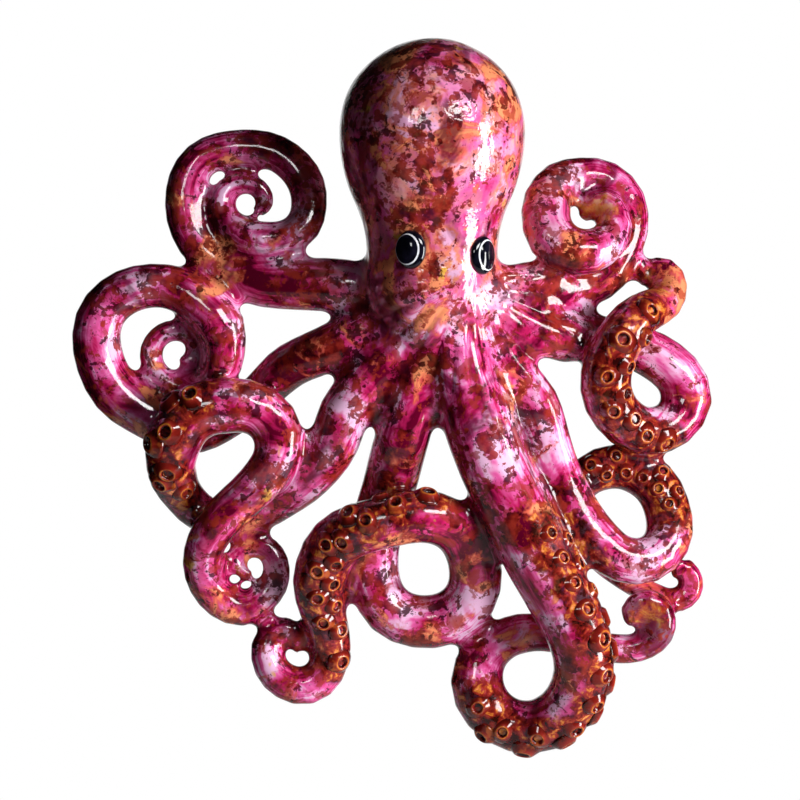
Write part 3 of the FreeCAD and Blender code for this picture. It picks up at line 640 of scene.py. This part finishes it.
def set_attribute(mesh, name, values):
    """Stores a number per vertex for the glazes to read."""
    attribute = mesh.attributes.new(name, "FLOAT", "POINT")
    attribute.data.foreach_set("value", np.asarray(values, np.float32))


def crease_depth(mesh):
    """How hollow the skin is at each vertex, from 0 on open skin to 1 in a crease."""
    places = places_of(mesh)
    edges = edges_of(mesh)
    blurred = relaxed(places, edges, CREASE_ROUNDS, 0.8)
    depth = ((blurred - places) * normals_of(mesh)).sum(1)[:, None]
    for _ in range(CREASE_BLUR_ROUNDS):
        depth = spread(depth, edges, len(depth))
    return np.clip(depth[:, 0] / CREASE_FULL, 0, 1)


def soften_creases(mesh):
    """Lets the glaze lie smooth where it has pooled in the creases."""
    places = places_of(mesh)
    edges = edges_of(mesh)
    share = crease_depth(mesh)[:, None]
    for _ in range(SOFT_SPREAD_ROUNDS):
        share = spread(share, edges, len(places))
    step = 0.6 * np.clip(share * SOFT_GAIN, 0, 1)
    set_places(mesh, relaxed(places, edges, SOFT_ROUNDS, step))


def nearness(mesh, points, near, far):
    """1 within near of any of the points, falling to 0 at far."""
    tree = KDTree(len(points))
    for index, point in enumerate(points):
        tree.insert(point, index)
    tree.balance()
    distance = np.array([tree.find(place)[2] for place in places_of(mesh)])
    return np.clip((far - distance) / (far - near), 0, 1)


def joined_vertices(start, seen):
    """The places of all the vertices that edges join to this one. They go into seen."""
    seen.add(start)
    stack = [start]
    places = []
    while stack:
        vertex = stack.pop()
        places.append(vertex.co.copy())
        for edge in vertex.link_edges:
            other = edge.other_vert(vertex)
            if other not in seen:
                seen.add(other)
                stack.append(other)
    return places


def loose_cups(name):
    """Each sucker of a CAD group as its centre and radius."""
    group = node_mesh(name)
    seen = set()
    cups = []
    for vertex in group.verts:
        if vertex not in seen:
            places = joined_vertices(vertex, seen)
            centre = sum(places, Vector()) / len(places)
            cups.append((centre, max((place - centre).length for place in places)))
    group.free()
    return cups


def pooled(mesh, tips):
    """How far the glaze pools at each vertex: further in the tight curls of the arms."""
    near = nearness(mesh, tips, 7 * MM, 15 * MM)
    return (POOL + POOL_IN_CURLS * near)[:, None]


def mark_zones(mesh, cups, tips):
    """Tells the glaze where the suckers, the curls, the head and the creases are."""
    centres = [centre for centre, _ in cups]
    heads = [photo_place(*place, HEAD_Y) for place in HEAD_PLACES_PX]
    set_attribute(mesh, "band", nearness(mesh, centres, 6 * MM, 16 * MM))
    set_attribute(mesh, "tip", nearness(mesh, tips, 4 * MM, 17 * MM))
    set_attribute(mesh, "head", nearness(mesh, heads, 46 * MM, 74 * MM))
    # Crease depth: the glaze darkens the creases with it, partly for pooled glaze and partly
    # as painted shade.
    set_attribute(mesh, "crease", crease_depth(mesh))


def make_skin(cups, material):
    """The continuous glaze coat over mantle, web and arms."""
    tips = [photo_place(*tip, ARM_PLANE_Y) for tip in CURL_TIPS_PX]
    mesh = remeshed(luted_mesh())
    smoothe(mesh, 3)
    grow(mesh, pooled(mesh, tips))
    mesh = remeshed(mesh)
    smoothe(mesh, 5)
    grow(mesh, -pooled(mesh, tips) - BRIDGE)
    smoothe(mesh, 4)
    soften_creases(mesh)
    smear_web(mesh)
    add_web_folds(mesh)
    add_hand_waves(mesh)
    mark_zones(mesh, cups, tips)
    skin = make_object("glazed_skin", mesh, material)
    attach(skin, "root")
    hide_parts(*LUTED)
    return skin


# One sucker's section: how far out, how high (shares of its radius), place on its ring
CUP_SECTION_SHARES = [
    (1.45, -0.34, 0), (1.26, -0.17, 0.06), (1.1, -0.04, 0.14), (0.96, 0.08, 0.24),
    (0.84, 0.18, 0.34), (0.74, 0.25, 0.43), (0.65, 0.28, 0.5), (0.56, 0.26, 0.57),
    (0.49, 0.17, 0.65), (0.43, 0.03, 0.76), (0.33, -0.08, 0.86), (0.17, -0.12, 0.96)]
CUP_SIDES = 24
CUP_HEIGHT_GAIN = 1.15

# How far a cup's rim wanders, over what distance, and the seed of the noise that moves it.
# Without a seed mathutils takes the offsets of noise_vector from the clock.
CUP_WOBBLE = 0.12
CUP_WOBBLE_PER_M = 900
CUP_SEED = 5


def close_rings(mesh, rings, slots):
    """Joins a stack of rings to a closed piece. Each band takes its upper ring's slot."""
    sides = len(rings[0])
    for low, high, slot in zip(rings, rings[1:], slots[1:]):
        for side in range(sides):
            other = (side + 1) % sides
            face = mesh.faces.new((low[side], low[other], high[other], high[side]))
            face.material_index = slot
    mesh.faces.new(rings[-1])
    mesh.faces.new(reversed(rings[0]))


def add_cup(mesh, centre, radius, skin_tree):
    """One round cup, slightly uneven, seated on the skin nearest to the CAD cup."""
    ring_layer = mesh.verts.layers.float["ring"]
    seat, normal, _, _ = skin_tree.find_nearest(centre)
    turn = normal.to_track_quat("Z", "Y").to_matrix()
    wobble = noise.noise_vector(centre * CUP_WOBBLE_PER_M) * CUP_WOBBLE
    rings = []
    for out, up, where in CUP_SECTION_SHARES:
        ring = []
        for side in range(CUP_SIDES):
            angle = 2 * math.pi * side / CUP_SIDES
            uneven = 1 + wobble.x * math.cos(angle) + wobble.y * math.sin(2 * angle)
            reach = out * radius * uneven
            height = up * radius * CUP_HEIGHT_GAIN
            local = Vector((reach * math.cos(angle), reach * math.sin(angle), height))
            vertex = mesh.verts.new(seat + turn @ local)
            vertex[ring_layer] = where
            ring.append(vertex)
        rings.append(ring)
    close_rings(mesh, rings, [0] * len(rings))


def make_suckers(name, skin_tree, material):
    """A group of round cups seated on the skin where the CAD group has them."""
    mesh = bmesh.new()
    mesh.verts.layers.float.new("ring")
    for centre, radius in loose_cups(name):
        add_cup(mesh, centre, radius, skin_tree)
    result = bpy.data.meshes.new(name)
    mesh.to_mesh(result)
    mesh.free()
    piece = make_object(f"glazed_{name}", result, material)
    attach(piece, "root")
    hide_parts(name)


# An eye's section: its share of the oval, how far it stands proud of the neck and how far
# it is shifted to the face's outer side in millimetres, and whether the band that ends
# there is the painted white ring
EYE_SECTION = [
    (1.04, -2.5, 0, 0), (1.03, 0.5, 0, 0), (0.99, 1.4, 0, 0), (0.93, 2, 0.3, 0),
    (0.88, 2.3, 0.6, 0), (0.83, 2.45, 0.9, 0), (0.76, 2.66, 1.2, 1), (0.72, 2.78, 1.15, 0),
    (0.56, 3.15, 0.8, 0), (0.38, 3.45, 0.4, 0), (0.2, 3.65, 0, 0)]
EYE_SIDES = 72
EYE_HALF_WIDTH = 7.5 * MM
EYE_HALF_HEIGHT = 9.3 * MM
NECK_AXIS = Vector((0, HEAD_Y, 0))
NECK_RADIUS = 33.2 * MM


def make_eye(name, outer_side, materials):
    """An oval button with a raised black rim, a painted white ring and a domed pupil."""
    low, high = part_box(name)
    centre = (Vector(low) + Vector(high)) / 2
    out = Vector((centre.x - NECK_AXIS.x, centre.y - NECK_AXIS.y, 0)).normalized()
    seat = Vector((NECK_AXIS.x, NECK_AXIS.y, centre.z)) + out * NECK_RADIUS
    across = Vector((0, 0, 1)).cross(out)
    mesh = bmesh.new()
    rings = []
    for share, proud, shift, _ in EYE_SECTION:
        ring = []
        for side in range(EYE_SIDES):
            angle = 2 * math.pi * side / EYE_SIDES
            wide = math.cos(angle) * share * EYE_HALF_WIDTH + outer_side * shift * MM
            tall = math.sin(angle) * share * EYE_HALF_HEIGHT
            fall = wide * wide / (2 * NECK_RADIUS)
            place = seat + across * wide + Vector((0, 0, tall)) + out * (proud * MM - fall)
            ring.append(mesh.verts.new(place))
        rings.append(ring)
    close_rings(mesh, rings, [section[3] for section in EYE_SECTION])
    result = bpy.data.meshes.new(name)
    mesh.to_mesh(result)
    mesh.free()
    piece = make_object(f"glazed_{name}", result, *materials)
    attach(piece, "root")
    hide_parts(name)


# The floor under the hanging piece: how far below it, and half its width
FLOOR_DROP = 66 * MM
FLOOR_HALF = 0.36


def make_stage():
    """A pale floor below the hanging piece, just under the photograph's lower edge."""
    mesh = bpy.data.meshes.new("floor")
    low = cad_box[0][2] - FLOOR_DROP
    half = FLOOR_HALF
    corners = [(-half, -half, low), (half, -half, low), (half, half, low), (-half, half, low)]
    mesh.from_pydata(corners, [], [(0, 1, 2, 3)])
    nodes = Nodes("pale_floor")
    grain = nodes.noise(8, 3, 0.5)
    pale = nodes.ramp(grain, [(0.3, srgb(234, 234, 234)), (0.7, srgb(244, 244, 244))])
    nodes.feed(nodes.shader.inputs["Base Color"], pale)
    nodes.shader.inputs["Roughness"].default_value = 0.8
    floor = make_object("floor", mesh, nodes.material)


# The room's light on the piece and in its reflections, and how near to straight behind
# the piece a reflection must look to see the white backdrop
ROOM_LEVEL = 0.006
ROOM_GLOSS_LEVEL = 0.004
BACKDROP_EDGE = 0.84


def world_maths(tree, operation, first, second):
    node = tree.nodes.new("ShaderNodeMath")
    node.operation = operation
    tree.links.new(first, node.inputs[0])
    if isinstance(second, bpy.types.NodeSocket):
        tree.links.new(second, node.inputs[1])
    else:
        node.inputs[1].default_value = second
    return node.outputs[0]


def mirrored_room(tree):
    """What a reflection sees: white straight behind the piece, and else a dim room."""
    split = tree.nodes.new("ShaderNodeSeparateXYZ")
    behind = tree.nodes.new("ShaderNodeMapRange")
    direction = tree.nodes.new("ShaderNodeTexCoord").outputs["Generated"]
    tree.links.new(direction, split.inputs[0])
    tree.links.new(split.outputs["Y"], behind.inputs["Value"])
    behind.inputs["From Min"].default_value = BACKDROP_EDGE
    behind.inputs["From Max"].default_value = 1
    behind.inputs["To Min"].default_value = ROOM_GLOSS_LEVEL
    behind.inputs["To Max"].default_value = 1
    return behind.outputs[0]


def make_world():
    """A white backdrop seen behind the piece and a dim room in front of it."""
    world = bpy.data.worlds.new("studio")
    bpy.context.scene.world = world
    world.use_nodes = True
    tree = world.node_tree
    path = tree.nodes.new("ShaderNodeLightPath").outputs
    camera, through = path["Is Camera Ray"], path["Is Transmission Ray"]
    seen = world_maths(tree, "MAXIMUM", camera, through)
    mirrored = world_maths(tree, "MULTIPLY", path["Is Glossy Ray"], mirrored_room(tree))
    plain = world_maths(tree, "MULTIPLY", path["Is Diffuse Ray"], ROOM_LEVEL)
    bright = world_maths(tree, "MAXIMUM", seen, mirrored)
    back = tree.nodes["Background"]
    tree.links.new(world_maths(tree, "MAXIMUM", bright, plain), back.inputs["Strength"])
    back.inputs["Color"].default_value = (1, 1, 1, 1)


def make_lamp(name, place, width, height, power, mirrored=True, lighting=True):
    """A flat lamp aimed at the piece. It may be left out of reflections or of the light."""
    light = bpy.data.lights.new(name, "AREA")
    light.shape = "RECTANGLE"
    light.size = width
    light.size_y = height
    light.energy = power
    lamp = bpy.data.objects.new(name, light)
    bpy.context.scene.collection.objects.link(lamp)
    lamp.location = place
    lamp.visible_glossy = mirrored
    lamp.visible_diffuse = lighting
    aim = photo_place(PHOTO_SIDE_PX / 2, PHOTO_SIDE_PX / 2, ARM_PLANE_Y) - Vector(place)
    lamp.rotation_euler = aim.to_track_quat("-Z", "Y").to_euler()


def make_camera():
    """The photograph's view: level, square on, with its whole width at the arms' plane."""
    camera = bpy.data.cameras.new("camera")
    camera.sensor_width = SENSOR_MM
    camera.lens = SENSOR_MM * (ARM_PLANE_Y - CAMERA_Y) / (PHOTO_SIDE_PX * M_PER_PX)
    holder = bpy.data.objects.new("camera", camera)
    bpy.context.scene.collection.objects.link(holder)
    holder.location = photo_place(PHOTO_SIDE_PX / 2, PHOTO_SIDE_PX / 2, CAMERA_Y)
    holder.rotation_euler = (math.pi / 2, 0, 0)
    bpy.context.scene.camera = holder


bpy.context.scene.view_settings.view_transform = "Standard"
make_camera()
make_stage()
make_world()
make_lamp("daylight", (2.2, -1.6, -0.1), 1.2, 1.5, 132, mirrored=False)
make_lamp("room_fill", (0.35, -2.4, 0.2), 1, 1, 2, mirrored=False)
make_lamp("window_right", (2.6, -1, -0.5), 0.75, 1.8, 80, lighting=False)
make_lamp("window_high", (1.2, -1.7, 0.75), 1.2, 0.5, 36, lighting=False)
make_lamp("back_light", (0.3, 2.2, 0.1), 1, 1, 50, mirrored=False)
make_lamp("window_left", (-0.45, -1.5, 0.35), 0.34, 0.24, 3, lighting=False)

body_glaze = make_body_glaze()
sucker_glaze = make_sucker_glaze()
all_cups = [cup for name in SUCKER_NODES for cup in loose_cups(name)]
skin = make_skin(all_cups, body_glaze)
skin_tree = mesh_tree(skin.data)
noise.seed_set(CUP_SEED)
for sucker_node in SUCKER_NODES:
    make_suckers(sucker_node, skin_tree, sucker_glaze)
eye_glazes = [make_eye_black(), make_eye_white()]
make_eye("eye_left", -1, eye_glazes)
make_eye("eye_right", 1, eye_glazes)
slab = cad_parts["back_slab"]
slab.data.materials.clear()
slab.data.materials.append(make_slab_glaze())
